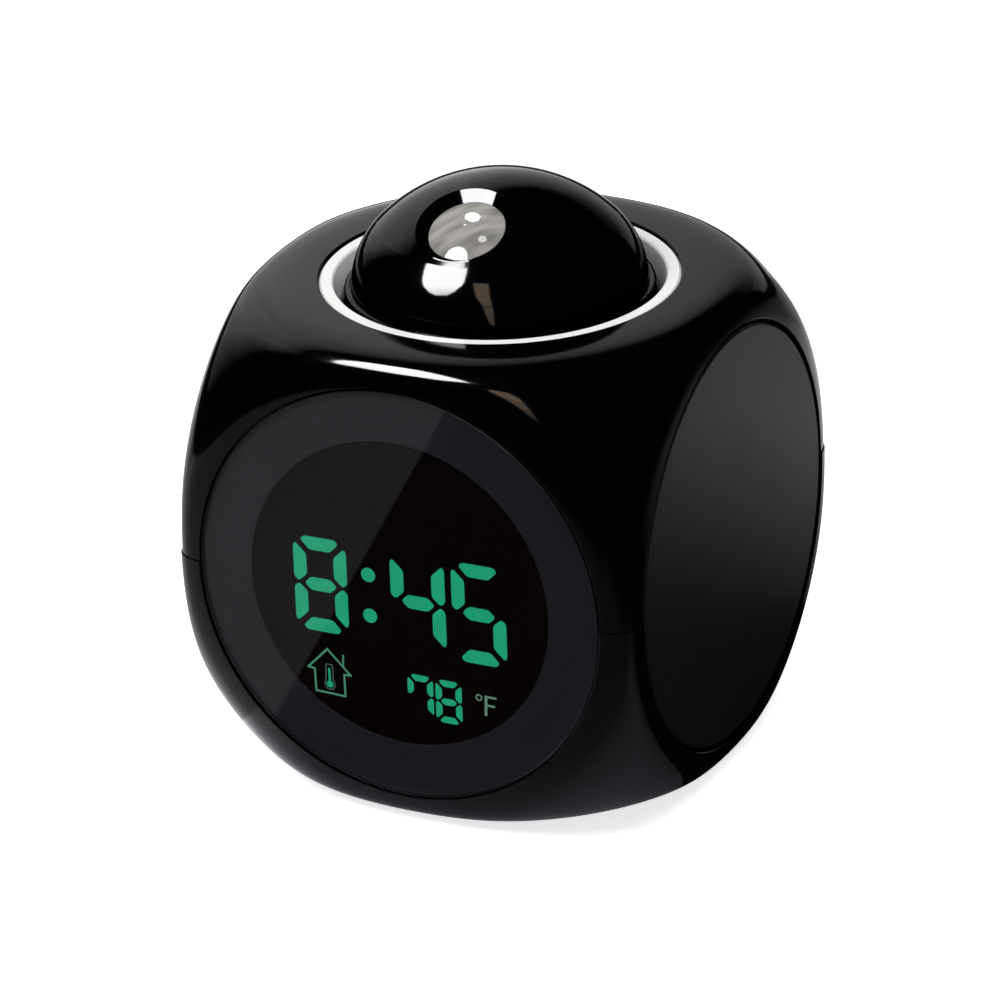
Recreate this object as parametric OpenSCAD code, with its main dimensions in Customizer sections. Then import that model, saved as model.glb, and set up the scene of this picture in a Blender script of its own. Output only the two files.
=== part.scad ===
// Projection alarm clock: a ball-cornered cube with a round face on each side,
// a clear window in front and a swivelling projector dome on top.
// The origin is under the middle of the clock, on the surface that it stands on.
// -Y is the side with the display, +X is its right side, +Z is up.

/* [Body] */
// Width and depth between opposite flats
body_w = 84.5; // [84:0.1:85]
// Height between the top and bottom flats
body_h = 82.8; // [82.4:0.1:83.2]
// Diameter of the sphere that rounds the eight corners
ball_d = 117.4; // [117:0.1:117.8]
// How crisply the sides and the sphere blend; a higher number gives crisper edges
crispness = 32; // [28:1:36]
// How far the blended sides lie outside the width between the flats
swell = 0.25; // [0.2:0.05:0.3]
// Wall thickness of the two shells
wall = 2.2; // [2.1:0.05:2.3]
// How far the lower shell stands proud of the upper one at the seam
seam_step = 0.2; // [0.1:0.05:0.25]
// How far the rubber feet stand below the bottom flat
foot_h = 0.8; // [0.6:0.1:1.0]

/* [Round faces] */
// Radius of the round seat that is sunk into each side
seat_r = 36.65; // [36.6:0.05:36.7]
// Radius of the satin side caps and the back panel
cap_r = 36.05; // [35.9:0.05:36.2]
// Thickness of the side caps and the back panel
cap_t = 2; // [1.8:0.1:2]
// Thickness of the clear front window
window_t = 1.2; // [1:0.1:1.2]
// Radius of the dark opening in the printed ring behind the window
view_r = 27.3; // [26.5:0.1:28]

/* [Display] */
// Width of the display glass
lcd_w = 44; // [42:0.5:44.5]
// Height of the display glass
lcd_h = 39; // [37:0.5:39.5]
// How far the display glass sits below the middle of the window
lcd_drop = 5; // [4:0.5:5]

/* [Projector dome] */
// Radius of the dome at its widest
dome_r = 24.95; // [24.8:0.05:25]
// Height of the top of the dome above the seam
dome_top = 58.5; // [58.2:0.1:58.8]
// Radius of the crown of the dome
crown_r = 29.6; // [29.2:0.1:30]
// Radius of the shoulder of the dome
shoulder_r = 14.5; // [14.2:0.1:14.8]
// How far the dome travels when it is pressed
press = 1.2; // [1:0.1:1.3]
// Tilt of the lens from straight up
lens_tilt = 25.6; // [25:0.1:26.2]
// Radius of the projector lens
lens_r = 6.5; // [6.3:0.1:6.6]

/* [Controls] */
// Radius of the push buttons on the back
button_r = 3.3; // [3:0.1:3.4]
// Spacing of the push buttons
button_pitch = 11.5; // [11:0.1:12]
// Travel of the push buttons
button_travel = 0.6; // [0.4:0.1:0.7]
// Travel of the slide switch
switch_travel = 4; // [3.5:0.1:4.2]

/* [Hidden] */
$fn = 96;

// Steps from the middle of a side to its edge in the body's grid
body_steps = 11;
half_w = body_w / 2;
half_h = body_h / 2;
seam_z = foot_h + half_h;
pin_gap = 0.1;
slide_gap = 0.08;
big = 120;

// Walls behind the round seats
seat_y = half_w - window_t - 0.4;
cap_seat = half_w - cap_t - 0.2;
back_seat = half_w - cap_t - 0.8;
inner_w = cap_seat - wall;
inner_h = half_h - wall;
front_hole_r = 34.5;
back_hole_r = 31;
cap_pin_r = 1.4;
cap_pin_at = 28;
back_pin_at = 33.8;
back_pin_r = 1.2;

// Columns that the four shell screws pull together
column_x = 32;
column_y = 10;
column_r = 3;
column_gap = 0.2;
screw_r = 1.1;
screw_head_r = 2.3;
tap_r = screw_r + 0.02;
clear_r = screw_r + 0.3;

// Battery bay, its door and its cells
bay_x = 25.7;
bay_y = 18.7;
bay_top = -half_h + 13.8;
bay_wall = 1.8;
door_x = 27;
door_y = 20;
door_t = 1.6;
door_gap = 0.2;
tab_x = 15;
cell_r = 5.25;
cell_l = 43.7;
cell_pitch = 12;
cell_z = -half_h + 8.2;
cell_ways = [1, -1, 1];
cell_shift = 1.4;
foot_r = 3.5;
foot_at = 24.4;

// Display stack, measured back from the window
lcd_y = -seat_y + 0.15;
lcd_t = 2;
guide_t = 3.6;
board_y = lcd_y + lcd_t + guide_t + 0.3;
board_t = 1.6;
board_x = 30;
board_z = 32;
frame_wall = 1.6;
frame_lug_x = lcd_w / 2 + 3.6;
frame_lug_z = 14;
mount_x = 22;
mount_z = 29;

// Controls behind the back panel
panel_in = back_seat;
panel_out = back_seat + cap_t;
button_z = 14;
button_xs = [-1.5 * button_pitch, -0.5 * button_pitch,
    0.5 * button_pitch, 1.5 * button_pitch];
switch_z = 25;
switch_rest = -switch_travel / 2;
tact_top = panel_in - 3;
button_board_y = tact_top - 4.3;
post_x = 21.5;
post_z = 19;
post_r = 1.9;
speaker_z = -14;
speaker_r = 14;

// Dome: two arcs turned around the vertical axis
equator_z = dome_top - crown_r
    + sqrt(pow(crown_r - shoulder_r, 2) - pow(dome_r - shoulder_r, 2));
dome_wall = 1.8;
skirt_z = 34.35;
rim_r = 26.15;
rim_top = 40;
rim_round = 0.6;
flange_r = 27.6;
flange_top = 34.3;
ring_r = 30.35;
ring_in_r = 27.9;
ring_throat_r = 26.7;
ring_sleeve_r = 28.2;
ring_lip = 0.85;
ring_top = half_h - 0.35;
ring_bottom = 34.6;

// Where the lens axis leaves the crown of the dome
lens_y = -crown_r * sin(lens_tilt);
lens_z = dome_top - crown_r * (1 - cos(lens_tilt));
collar_r = 8.4;
barrel_r = 7.6;
barrel_end = -15;

// Turret, from the dome's floor down to the snooze switch
base_top = 35.2;
base_bottom = 32.8;
head_sink = 1.5;
base_r = 22.6;
spindle_r = 5;
spindle_end = 20.7;
plate_top = 32.6;
plate_bottom = 31;
plate_r = 20;
hub_r = 8;
hub_end = 20.9;
leg_at = 17.5;
leg_r = 1.8;
guide_top = 29.8;
guide_bottom = 28;
cup_r = 14.2;
cup_in_r = 12.8;
cup_floor = 23.2;
hanger_at = 23;
stop_at = 15;
stop_r = 1.2;
boss_at = 19.3;
snooze_top = 22.85;
snooze_board_top = 18.8;

// ---- helpers ----

// Everything inside is placed from the seam, halfway up the body
module from_seam() translate([0, 0, seam_z]) children();

// Turns a shape that is drawn along +Z so that it points out of a side
module out_front() rotate([90, 0, 0]) children();
module out_back() rotate([-90, 0, 0]) children();
module out_right() rotate([0, 90, 0]) children();
module out_left() rotate([0, -90, 0]) children();

module copy_x() {
    children();
    mirror([1, 0, 0]) children();
}

module copy_xy() {
    copy_x() children();
    mirror([0, 1, 0]) copy_x() children();
}

module block(x0, x1, y0, y1, z0, z1)
    translate([x0, y0, z0]) cube([x1 - x0, y1 - y0, z1 - z0]);

module rod(r, z0, z1) translate([0, 0, z0]) cylinder(r = r, h = z1 - z0);

module tube(r_out, r_in, z0, z1)
    difference() {
        rod(r_out, z0, z1);
        rod(r_in, z0 - 1, z1 + 1);
    }

// Flat ring or disc whose outer edge has a small chamfer at the z1 side
module disc(r, z0, z1, chamfer)
    rotate_extrude()
        polygon([[0, z0], [r, z0], [r, z1 - chamfer], [r - chamfer, z1], [0, z1]]);

// Round wire wound into a spring along +Z
module coil(mean_r, wire_r, length, turns, sides = 6, steps = 14) {
    rings = turns * steps;
    rise = (length - 2 * wire_r) / rings;
    points = [for (i = [0 : rings], s = [0 : sides - 1])
        let (a = 360 * i / steps, b = 360 * s / sides, r = mean_r + wire_r * cos(b))
        [r * cos(a), r * sin(a), wire_r + rise * i + wire_r * sin(b)]];
    walls = [for (i = [0 : rings - 1], s = [0 : sides - 1])
        let (t = (s + 1) % sides)
        [i * sides + s, (i + 1) * sides + s, (i + 1) * sides + t, i * sides + t]];
    first = [for (s = [0 : sides - 1]) s];
    last = [for (s = [sides - 1 : -1 : 0]) rings * sides + s];
    polyhedron(points, concat(walls, [first, last]));
}

// Pan-head screw: head above z = 0, shank below it
module pan_screw(length, head_r = screw_head_r, shank_r = screw_r) {
    difference() {
        rod(head_r, 0, 1.4);
        for (a = [0, 90])
            rotate([0, 0, a]) block(-1.5, 1.5, -0.3, 0.3, 0.6, 2);
    }
    rod(shank_r, -length, 0.01);
}

// ---- the two shells ----

// How far the outside lies along a direction from the middle. Powers of the
// shares of the three sides and the sphere add up to one, as on a superellipse,
// so the box and the ball blend without a seam.
function reach(d, grow) =
    let (side = half_w + swell + grow,
        shares = [d.x / side, d.y / side, d.z / (half_h + grow),
            norm(d) / (ball_d / 2 + grow)],
        powers = [for (share = shares) pow(abs(share), crispness)])
    pow(powers * [1, 1, 1, 1], -1 / crispness);

// Outside of the body: a grid on the six sides of a cube, closer towards the
// edges, carried out to where the blended form lies
module outside(grow = 0) {
    grid = [for (i = [-body_steps : body_steps]) tan(45 * sin(90 * i / body_steps))];
    points = [for (u = grid, v = grid, end = [-1, 1], d = [[end, u, v], [v, end, u], [u, v, end]])
        d * reach(d, grow)];
    hull() polyhedron(points, [[for (i = [0 : len(points) - 1]) i]]);
}

// Inside of the body, or of the lip, drawn in by "shrink"
module inside(shrink = 0)
    intersection() {
        cube([2 * (inner_w - shrink), 2 * (inner_w - shrink), 2 * (inner_h - shrink)],
            center = true);
        sphere(r = ball_d / 2 - wall - shrink);
    }

// The four sunk seats and the openings behind them
module side_seats() {
    out_front() rod(seat_r, seat_y, big);
    out_front() rod(front_hole_r, inner_w - 1.5, big);
    out_back() rod(seat_r, back_seat, big);
    out_back() rod(back_hole_r, inner_w - 1.5, big);
    out_right() rod(seat_r, cap_seat, big);
    out_left() rod(seat_r, cap_seat, big);
}

module cap_pins(at, r, z0, z1)
    for (a = [45 : 90 : 315])
        rotate([0, 0, a]) translate([at, 0, 0]) rod(r, z0, z1);

module pin_holes() {
    out_right() cap_pins(cap_pin_at, cap_pin_r + pin_gap, inner_w - 1, big);
    out_left() cap_pins(cap_pin_at, cap_pin_r + pin_gap, inner_w - 1, big);
    out_back() cap_pins(back_pin_at, back_pin_r + pin_gap, inner_w - 1, big);
}

module columns(r, z0, z1)
    copy_xy() translate([column_x, column_y, 0]) rod(r, z0, z1);

module hangers(r, z0, z1)
    copy_xy() translate([hanger_at, hanger_at, 0]) rod(r, z0, z1);

module upper_shell()
    color("#0c0c0e") from_seam() difference() {
        union() {
            difference() {
                intersection() {
                    outside();
                    block(-big, big, -big, big, 0, big);
                }
                inside();
            }
            intersection() {
                inside(-0.5);
                union() {
                    columns(column_r, column_gap, half_h);
                    hangers(column_r, guide_top, half_h);
                    for (x = [-mount_x, mount_x])
                        translate([x, 0, mount_z])
                            out_front() rod(2.6, -board_y + 0.1, half_w);
                }
            }
        }
        side_seats();
        pin_holes();
        rod(ring_r + 0.15, ring_top - ring_lip - 0.05, big);
        rod(ring_sleeve_r + 0.3, inner_h - 1, big);
        columns(tap_r, -1, 14);
        hangers(tap_r, 0, guide_top + 6);
        for (x = [-mount_x, mount_x])
            translate([x, 0, mount_z]) out_front() rod(tap_r, 0, -lcd_y - 1.5);
    }

// Lip inside the lower shell that centres the upper one
module seam_lip()
    difference() {
        union() {
            intersection() {
                inside(-0.5);
                block(-big, big, -big, big, -2, 0);
            }
            intersection() {
                inside(0.1);
                block(-big, big, -big, big, -1, 1.6);
            }
        }
        inside(1.2);
    }

module bay_walls()
    difference() {
        block(-bay_x - bay_wall, bay_x + bay_wall, -bay_y - bay_wall, bay_y + bay_wall,
            -half_h + 1, bay_top + 1);
        block(-bay_x, bay_x, -bay_y, bay_y, -half_h, bay_top);
    }

module lower_shell()
    color("#0c0c0e") from_seam() difference() {
        union() {
            difference() {
                intersection() {
                    outside(seam_step);
                    block(-big, big, -big, big, -half_h, 0);
                }
                inside();
            }
            seam_lip();
            intersection() {
                inside(-0.5);
                union() {
                    columns(column_r, -half_h, 0);
                    bay_walls();
                    for (x = [-mount_x, mount_x])
                        difference() {
                            block(x - 2.5, x + 2.5, -inner_w - 1, board_y + board_t + 1.4,
                                -half_h, -board_z + 3);
                            block(x - 3, x + 3, board_y - 0.1, board_y + board_t + 0.1,
                                -board_z - 0.1, 0);
                        }
                }
            }
        }
        side_seats();
        pin_holes();
        // Battery opening, the sunk seat of its door, its tab pockets and finger notch
        block(-bay_x, bay_x, -bay_y, bay_y, -big, bay_top);
        block(-door_x - door_gap, door_x + door_gap, -door_y - door_gap,
            door_y + door_gap, -big, -half_h + door_t);
        for (x = [-tab_x, tab_x])
            block(x - 4.3, x + 4.3, -door_y - 2, -bay_y + 0.1,
                -half_h + door_t - 0.01, -half_h + 4);
        block(-6, 6, bay_y - 0.1, door_y + 3.4, -big, -half_h + 1.2);
        // Screw holes from below, and the sockets of the feet
        columns(clear_r, -big, 1);
        columns(screw_head_r + 0.3, -big, -half_h + 6);
        copy_xy() translate([foot_at, foot_at, 0]) rod(foot_r + 0.1, -big, -half_h + 1.2);
    }

module shell_screws()
    color("#8d8f92") from_seam()
        copy_xy() translate([column_x, column_y, -half_h + 6])
            rotate([180, 0, 0]) pan_screw(46);

module rubber_feet()
    color("#18181a") from_seam()
        copy_xy() translate([foot_at, foot_at, -half_h])
            rotate([180, 0, 0]) disc(foot_r, -1.15, foot_h, 0.3);

// ---- front: window, printed ring and display ----

module front_window()
    color("#2a2624") from_seam()
        out_front() disc(seat_r - 0.2, half_w - window_t, half_w, 0.15);

module window_ring()
    color("#34353b") from_seam()
        out_front() tube(seat_r - 0.3, view_r, seat_y + 0.02, half_w - window_t - 0.02);

module lcd_slab(grow, y0, y1)
    block(-lcd_w / 2 - grow, lcd_w / 2 + grow, y0, y1,
        -lcd_drop - lcd_h / 2 - grow, -lcd_drop + lcd_h / 2 + grow);

module frame_lugs(r, y0, y1)
    for (x = [-frame_lug_x, frame_lug_x], z = [-frame_lug_z, frame_lug_z])
        translate([x, 0, z - lcd_drop]) out_front() rod(r, -y1, -y0);

module display_frame()
    color("#101012") from_seam() difference() {
        union() {
            out_front() rod(front_hole_r - 0.3, inner_w - 0.3, -lcd_y + 0.05);
            lcd_slab(frame_wall + 0.1, -inner_w + 0.2, board_y - 0.05);
            frame_lugs(2.6, -inner_w + 0.2, board_y - 0.05);
        }
        lcd_slab(0.1, lcd_y - 5, board_y + 5);
        frame_lugs(tap_r, -inner_w + 1, board_y + 1);
    }

module lcd_glass()
    color("#1d1a1a") from_seam() lcd_slab(0, lcd_y, lcd_y + lcd_t);

module light_guide()
    color("#dfe8e2") from_seam() difference() {
        lcd_slab(-0.2, lcd_y + lcd_t + 0.1, lcd_y + lcd_t + guide_t);
        // Room for the contact strip along the bottom edge
        block(-lcd_w, lcd_w, -big, 0, -big, -lcd_drop - lcd_h / 2 + 3.4);
        // Pockets that take the three lamps
        for (x = [-14, 0, 14])
            block(x - 1.9, x + 1.9, lcd_y + lcd_t + guide_t - 1.9, 0,
                -lcd_drop + lcd_h / 2 - 5, -lcd_drop + lcd_h / 2 - 1.9);
    }

module backlight_leds()
    color("#f2f0d8") from_seam()
        for (x = [-14, 0, 14])
            block(x - 1.6, x + 1.6, board_y - 1.8, board_y - 0.02,
                -lcd_drop + lcd_h / 2 - 4.7, -lcd_drop + lcd_h / 2 - 2.2);

module lcd_connector()
    color("#6b6f74") from_seam()
        block(-lcd_w / 2 + 3, lcd_w / 2 - 3, lcd_y + lcd_t + 0.05, board_y - 0.05,
            -lcd_drop - lcd_h / 2 + 0.4, -lcd_drop - lcd_h / 2 + 2.8);

module display_board()
    color("#1f5a34") from_seam() difference() {
        block(-board_x, board_x, board_y, board_y + board_t, -board_z, board_z);
        frame_lugs(clear_r, board_y - 1, board_y + board_t + 1);
        for (x = [-mount_x, mount_x])
            translate([x, 0, mount_z]) out_front() rod(clear_r, 0, big);
    }

module controller_chip()
    color("#151515") from_seam()
        translate([0, board_y + board_t, 4]) out_back() {
            disc(7, 0.02, 1.6, 0.8);
            translate([14, 9, 0]) rod(1.5, 0.02, 6);
            translate([-15, -6, 0]) rod(2.5, 0.02, 5.2);
            translate([-15, 3, 0]) rod(2.5, 0.02, 5.2);
        }

module display_screws()
    color("#8d8f92") from_seam() {
        for (x = [-frame_lug_x, frame_lug_x], z = [-frame_lug_z, frame_lug_z])
            translate([x, board_y + board_t + 0.05, z - lcd_drop])
                out_back() pan_screw(3.8);
        for (x = [-mount_x, mount_x])
            translate([x, board_y + board_t + 0.05, mount_z])
                out_back() pan_screw(3.6);
    }

// ---- sides ----

module side_cap() {
    disc(cap_r, cap_seat + 0.05, half_w - 0.1, 0.4);
    cap_pins(cap_pin_at, cap_pin_r, inner_w - 0.6, cap_seat + 0.1);
}

module left_cap() color("#3c3c40") from_seam() out_left() side_cap();
module right_cap() color("#3c3c40") from_seam() out_right() side_cap();

// ---- back: panel, buttons, switch and speaker ----

// Moves a shape that is drawn along +Z to a place on the back, x to the right
// as seen from behind and z up
module on_back(x, z) translate([-x, 0, z]) out_back() children();

// Rings of sound holes around a middle hole
module sound_holes(r, z0, z1) {
    rod(r, z0, z1);
    for (ring = [1 : 3], k = [1 : 6 * ring])
        rotate([0, 0, 60 * k / ring]) translate([3 * ring, 0, 0]) rod(r, z0, z1);
}

module back_panel()
    color("#303034") from_seam() difference() {
        union() {
            out_back() disc(cap_r, panel_in + 0.05, panel_out, 0.4);
            out_back() cap_pins(back_pin_at, back_pin_r, panel_in - 1.4, panel_in + 0.1);
            for (x = [-post_x, post_x])
                on_back(x, post_z) rod(post_r, button_board_y + 0.05, panel_in + 0.1);
            on_back(0, speaker_z)
                tube(speaker_r + 1.5, speaker_r + 0.15, panel_in - 3, panel_in + 0.1);
        }
        for (x = button_xs)
            on_back(x, button_z) rod(button_r + pin_gap, 0, big);
        translate([0, 0, switch_z])
            block(-4.5, 4.5, panel_in - 1, big, -1.6, 1.6);
        // Shallow finger recess around the slide switch
        translate([0, 0, switch_z])
            block(-7, 7, panel_out - 0.6, big, -3, 3);
        on_back(0, speaker_z) sound_holes(0.75, panel_in - 1, big);
        for (x = [-post_x, post_x])
            on_back(x, post_z) rod(tap_r, 0, panel_in - 0.5);
    }

// Push button with a crowned top, a flange behind the panel and a stem
module push_button(x)
    from_seam() on_back(x, button_z) {
        rotate_extrude() intersection() {
            union() {
                square([button_r, panel_out + 0.45]);
                square([button_r - 0.3, big]);
            }
            translate([0, panel_out + 0.75 - 12]) circle(r = 12, $fn = 144);
            translate([0, panel_in - 1]) square([button_r, 8]);
        }
        rod(button_r + 0.9, panel_in - 1, panel_in - 0.1);
        rod(1.6, tact_top + 0.05, panel_in - 0.9);
    }

module mode_button() color("#1a1a1c") push_button(button_xs[0]);
module alarm_button() color("#1a1a1c") push_button(button_xs[1]);
module up_button() color("#1a1a1c") push_button(button_xs[2]);
module down_button() color("#1a1a1c") push_button(button_xs[3]);

module switch_knob()
    color("#1a1a1c") from_seam() translate([switch_rest, 0, switch_z]) difference() {
        union() {
            block(-2.2, 2.2, panel_in - 1.4, panel_out + 0.5, -1.5, 1.5);
            block(-1, 1, panel_in - 3.4, panel_in - 1.3, -0.8, 0.8);
        }
        for (x = [-1.2, 0, 1.2])
            block(x - 0.25, x + 0.25, panel_out + 0.1, big, -2, 2);
    }

module switch_body()
    color("#b9bcc0") from_seam() translate([0, 0, switch_z]) difference() {
        block(-6, 6, button_board_y + 0.02, panel_in - 1.6, -2.6, 2.6);
        block(-4.4, 4.4, panel_in - 3.6, big, -1.1, 1.1);
    }

module button_board()
    color("#1f5a34") from_seam() difference() {
        block(-28, 28, button_board_y - board_t, button_board_y, 4, 31);
        for (x = [-post_x, post_x])
            on_back(x, post_z) rod(clear_r, 0, big);
    }

module tact_switches()
    color("#202022") from_seam()
        for (x = button_xs)
            on_back(x, button_z) tact_switch(button_board_y + 0.02, tact_top);

// Switch body with its round plunger
module tact_switch(z0, z1) {
    block(-3, 3, -3, 3, z0, z0 + 3.4);
    rod(1.7, z0 + 3.3, z1 - button_travel);
}

module button_board_screws()
    color("#8d8f92") from_seam()
        for (x = [-post_x, post_x])
            translate([x, button_board_y - board_t - 0.05, post_z])
                out_front() pan_screw(6);

module speaker_basket()
    color("#55585c") from_seam() on_back(0, speaker_z)
        rotate_extrude()
            polygon([[7, panel_in - 7], [8.6, panel_in - 7], [speaker_r, panel_in - 2.6],
                [speaker_r, panel_in - 0.3], [12.6, panel_in - 0.3], [12.6, panel_in - 2],
                [7, panel_in - 6]]);

module speaker_cone()
    color("#26221f") from_seam() on_back(0, speaker_z)
        rotate_extrude()
            polygon([[0, panel_in - 3.4], [4.2, panel_in - 4], [12.4, panel_in - 1.2],
                [12.4, panel_in - 0.8], [4.2, panel_in - 3.5], [0, panel_in - 2.6]]);

module speaker_magnet()
    color("#7d8084") from_seam() on_back(0, speaker_z)
        disc(8.5, panel_in - 11, panel_in - 7.05, 0.3);

// ---- top: trim ring and projector dome ----

module trim_ring()
    color("#f2f2f2") from_seam() rotate_extrude()
        polygon([[ring_throat_r, ring_bottom], [ring_sleeve_r, ring_bottom],
            [ring_sleeve_r, ring_top - ring_lip], [ring_r, ring_top - ring_lip],
            [ring_r, ring_top - 0.35], [ring_r - 0.35, ring_top],
            [ring_in_r + 0.3, ring_top], [ring_in_r, ring_top - 0.3],
            [ring_throat_r + 0.2, ring_top - 3.5], [ring_throat_r, ring_bottom + 1.6]]);

// Half section of the dome, drawn in by "shrink": a crown arc that runs into a
// shoulder arc, over a straight skirt
module dome_section(shrink, z0)
    intersection() {
        union() {
            intersection() {
                translate([0, dome_top - crown_r])
                    circle(r = crown_r - shrink, $fn = 240);
                shoulder_wedge();
            }
            translate([dome_r - shoulder_r, equator_z])
                circle(r = shoulder_r - shrink, $fn = 240);
            square([dome_r - shoulder_r, equator_z + 1]);
            square([dome_r - shrink, equator_z]);
        }
        translate([0, z0]) square([dome_r - shrink, 100]);
    }

// The part of the section between the axis and the ray from the crown's centre
// through the shoulder's centre, where the two arcs meet
module shoulder_wedge() {
    reach = 4;
    centre = [0, dome_top - crown_r];
    knee = [dome_r - shoulder_r, equator_z];
    polygon([centre, centre + reach * (knee - centre), [0, 200]]);
}

// Places a shape that is drawn along +Z on the lens axis
module on_lens_axis()
    translate([0, lens_y, lens_z]) rotate([lens_tilt, 0, 0]) children();

module turret_bosses(r, z0, z1)
    for (a = [90, 210, 330])
        rotate([0, 0, a]) translate([boss_at, 0, 0]) rod(r, z0, z1);

module dome_shell()
    color("#0a0a0c") from_seam() difference() {
        rotate_extrude() dome_section(0, skirt_z);
        difference() {
            rotate_extrude() dome_section(dome_wall, skirt_z - 1);
            turret_bosses(2.3, base_top + 0.05, 60);
        }
        on_lens_axis() rod(collar_r + 0.05, -6, 20);
        turret_bosses(tap_r, 0, base_top + 7);
    }

module lens_collar()
    color("#0a0a0c") from_seam() on_lens_axis() rotate_extrude()
        polygon([[lens_r + 0.1, -4.2], [collar_r, -4.2], [collar_r, -1.3],
            [collar_r - 0.15, -1.15], [lens_r + 0.1, -2.7]]);

// Plano-convex lens
module projector_lens()
    color("#b8b4ae") from_seam() on_lens_axis()
        rotate_extrude() intersection() {
            translate([0, -4.1]) square([lens_r, 6]);
            translate([0, -1 - 13.6]) circle(r = 13.6, $fn = 160);
        }

module lens_barrel()
    color("#141416") from_seam() on_lens_axis() {
        tube(barrel_r, barrel_r - 1.2, barrel_end, -4.25);
        tube(barrel_r - 1.1, 3, -13.2, -12.2);
    }

module picture_film()
    color("#3a4248") from_seam() on_lens_axis()
        block(-3.6, 3.6, -3.6, 3.6, -12.15, -11.4);

module projector_board()
    color("#1f5a34") from_seam() on_lens_axis()
        rod(barrel_r + 0.8, barrel_end - 1.2, barrel_end - 0.05);

module projector_led()
    color("#f2f0d8") from_seam() on_lens_axis() {
        block(-1.75, 1.75, -1.4, 1.4, barrel_end - 0.04, barrel_end + 1);
        rod(1.1, barrel_end + 0.99, barrel_end + 1.5);
    }

// Section of the rim that stands up round the foot of the dome
module rim_section() {
    translate([dome_r + 0.1, flange_top - 0.1])
        square([rim_r - dome_r - 0.1, rim_top - rim_round - flange_top + 0.1]);
    intersection() {
        translate([rim_r - rim_round, rim_top - rim_round]) circle(r = rim_round, $fn = 48);
        translate([rim_r - rim_round, 0]) square([rim_round, rim_top]);
    }
    translate([dome_r + 0.35, flange_top])
        square([rim_r - rim_round - dome_r - 0.35, rim_top - flange_top]);
}

// Floor of the dome, with the rim and the flange that keep the dome in the trim
// ring, the hollow spindle that it turns on, and a stop pin
module turret_base()
    color("#0a0a0c") from_seam() difference() {
        union() {
            rod(base_r, base_bottom, base_top);
            rod(flange_r, base_bottom, flange_top);
            rotate_extrude() rim_section();
            rod(spindle_r, spindle_end, base_bottom + 1);
            translate([0, -stop_at, 0]) rod(stop_r, plate_bottom + 0.2, base_bottom + 1);
            // Cradle under the lens barrel
            intersection() {
                translate([0, -7, 0]) block(-6, 6, -4, 4, base_top - 0.5, 45);
                on_lens_axis() rod(30, -60, barrel_end - 1.3);
            }
        }
        rod(2.6, spindle_end + 4, 60);
        rod(tap_r, 0, spindle_end + 5);
        turret_bosses(clear_r, 0, 60);
        turret_bosses(screw_head_r + 0.2, 0, base_bottom + head_sink);
    }

module turret_screws()
    color("#8d8f92") from_seam()
        for (a = [90, 210, 330])
            rotate([0, 0, a]) translate([boss_at, 0, base_bottom + head_sink])
                rotate([180, 0, 0]) pan_screw(6);

// Washer and screw that keep the spindle in the press plate
module spindle_washer()
    color("#8d8f92") from_seam() {
        difference() {
            rod(6.8, spindle_end - 1.1, spindle_end - 0.02);
            rod(clear_r, 0, 60);
        }
        translate([0, 0, spindle_end - 1.15])
            rotate([180, 0, 0]) pan_screw(4.6, 2.6);
    }

// Plate that rises and sinks with the dome but does not turn
module press_plate()
    color("#e4e2dc") from_seam() difference() {
        union() {
            rod(plate_r, plate_bottom, plate_top);
            rod(hub_r, hub_end, plate_bottom + 1);
            for (a = [90, 210, 330])
                rotate([0, 0, a]) translate([leg_at, 0, 0])
                    rod(leg_r, a == 90 ? snooze_top + 0.1 : 25.6, plate_bottom + 1);
        }
        rod(spindle_r + slide_gap, 0, 60);
        // Half-round slot that lets the stop pin swing a quarter turn each way
        intersection() {
            tube(stop_at + stop_r + 0.3, stop_at - stop_r - 0.3, 0, 60);
            block(-big, big, -big, stop_r + 0.2, plate_bottom - 1, 60);
        }
    }

module return_spring()
    color("#a9acb0") from_seam()
        translate([0, 0, cup_floor + 1.7])
            coil(10.6, 0.4, plate_bottom - 0.05 - cup_floor - 1.7, 4, 8, 20);

module snooze_posts(r, z0, z1)
    copy_x() translate([9, 19, 0]) rod(r, z0, z1);

// Fixed frame under the shell's top that guides the press plate
module turret_guide()
    color("#d9d7d0") from_seam() difference() {
        union() {
            rod(22.5, guide_bottom, guide_top - 0.05);
            rod(cup_r, cup_floor, guide_bottom + 1);
            for (a = [45 : 90 : 315])
                rotate([0, 0, a]) {
                    block(20, hanger_at * sqrt(2), -3, 3, guide_bottom, guide_top - 0.05);
                    translate([hanger_at * sqrt(2), 0, 0])
                        rod(3.2, guide_bottom, guide_top - 0.05);
                }
            // Posts that carry the snooze board
            snooze_posts(2, snooze_board_top + 0.05, guide_bottom + 1);
        }
        rod(cup_in_r, cup_floor + 1.6, 60);
        rod(hub_r + slide_gap, 0, 60);
        for (a = [90, 210, 330])
            rotate([0, 0, a]) translate([leg_at, 0, 0]) rod(leg_r + slide_gap, 0, 60);
        hangers(clear_r, 0, 60);
        snooze_posts(0.9, 0, guide_bottom - 2);
    }

module guide_screws()
    color("#8d8f92") from_seam() {
        copy_xy() translate([hanger_at, hanger_at, guide_bottom - 0.05])
            rotate([180, 0, 0]) pan_screw(7.2);
        copy_x() translate([9, 19, snooze_board_top - board_t - 0.05])
            rotate([180, 0, 0]) pan_screw(5, 2, 0.88);
    }

module snooze_board()
    color("#1f5a34") from_seam() difference() {
        block(-13, 13, 12, 24, snooze_board_top - board_t, snooze_board_top);
        snooze_posts(1.1, 0, 60);
    }

module snooze_switch()
    color("#202022") from_seam() translate([0, leg_at, 0]) {
        block(-3, 3, -3, 3, snooze_board_top + 0.02, 21);
        rod(1.7, 20.9, snooze_top - press);
    }

// ---- bottom: battery door, cells and contacts ----

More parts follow.
